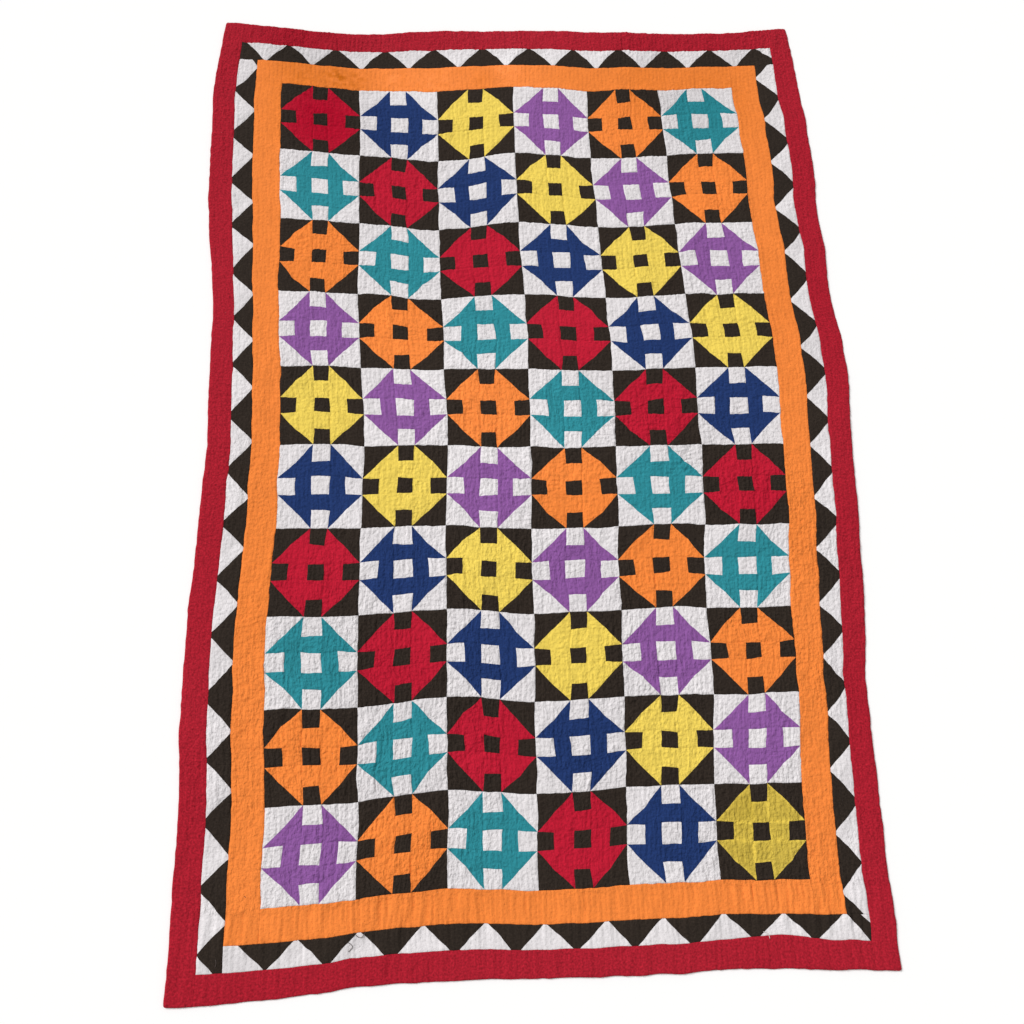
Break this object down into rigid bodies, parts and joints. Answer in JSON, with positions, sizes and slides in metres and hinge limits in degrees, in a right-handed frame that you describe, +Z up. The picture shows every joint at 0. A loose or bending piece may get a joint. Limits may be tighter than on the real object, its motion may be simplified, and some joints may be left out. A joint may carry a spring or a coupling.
{
  "type": "ralli quilt",
  "caption": "Quilted patchwork cloth lying flat: pieced blocks inside an orange, a black and white sawtooth and a red border.",
  "frame": {"origin": "middle of the underside, on the floor", "axes": "+Y along the quilt's length towards its head end, +X to the right seen from above with the head end up, +Z up"},
  "size_m": [1.5012, 2.2966, 0.0047],
  "materials": {
    "patchwork": "pieced plain cotton in six colours on black and white, quilted",
    "orange_cotton": "plain woven cotton, quilted",
    "sawtooth_cotton": "pieced black and white plain cotton, quilted",
    "red_cotton": "plain woven cotton with a flecked, faded colour, quilted"
  },
  "bodies": {
    "root": {"patchwork_field": "patchwork", "orange_left": "orange_cotton", "orange_right": "orange_cotton", "orange_head": "orange_cotton", "orange_foot": "orange_cotton", "sawtooth_left": "sawtooth_cotton", "sawtooth_right": "sawtooth_cotton", "sawtooth_head": "sawtooth_cotton", "sawtooth_foot": "sawtooth_cotton", "red_left": "red_cotton", "red_right": "red_cotton", "red_head": "red_cotton", "red_foot": "red_cotton"}
  },
  "joints": []
}
